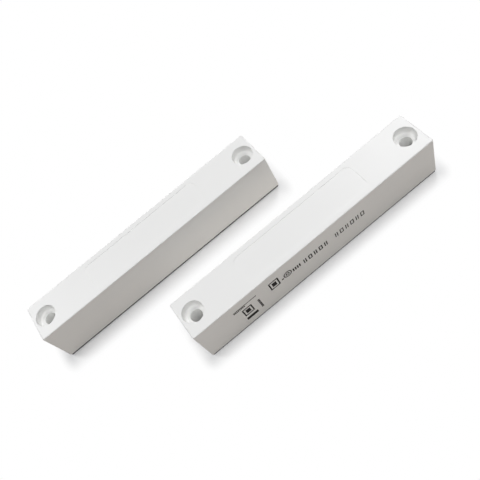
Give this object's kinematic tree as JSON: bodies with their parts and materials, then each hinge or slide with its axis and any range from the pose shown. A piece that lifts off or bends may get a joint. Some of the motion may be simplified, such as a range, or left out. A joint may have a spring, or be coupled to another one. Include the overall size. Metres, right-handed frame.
{
  "type": "magnetic door contact",
  "caption": "Surface-mount magnetic door contact: slim moulded bars with counterbored screw holes, a reed switch with screw terminals in one and a bar magnet in the other.",
  "frame": {"origin": "midway between the switch bar's two screw holes, on the mounting surface", "axes": "+X along the switch bar, +Y from the switch bar towards the magnet bar, +Z out of the top faces"},
  "size_m": [0.1454, 0.0537, 0.019],
  "materials": {
    "shell_plastic": "moulded, satin white",
    "plate_plastic": "moulded, matt dark grey",
    "capsule_glass": "drawn and fused",
    "reed_alloy": "plated nickel-iron wire",
    "sealing_compound": "cast",
    "terminal_brass": "stamped",
    "plated_steel": "zinc plated",
    "solder": "reflowed",
    "magnet_alloy": "sintered and ground",
    "foam": "die-cut foam"
  },
  "bodies": {
    "root": {"switch_housing": "shell_plastic", "switch_back_plate": "plate_plastic", "reed_capsule": "capsule_glass", "reed_blade_left": "reed_alloy", "reed_blade_right": "reed_alloy", "reed_potting": "sealing_compound", "terminal_plate_left": "terminal_brass", "terminal_plate_right": "terminal_brass", "clamp_washer_left": "plated_steel", "clamp_washer_right": "plated_steel", "terminal_screw_left": "plated_steel", "terminal_screw_right": "plated_steel", "solder_joint_left": "solder", "solder_joint_right": "solder", "magnet_housing": "shell_plastic", "magnet_back_plate": "plate_plastic", "bar_magnet": "magnet_alloy", "magnet_pad": "foam"}
  },
  "joints": []
}
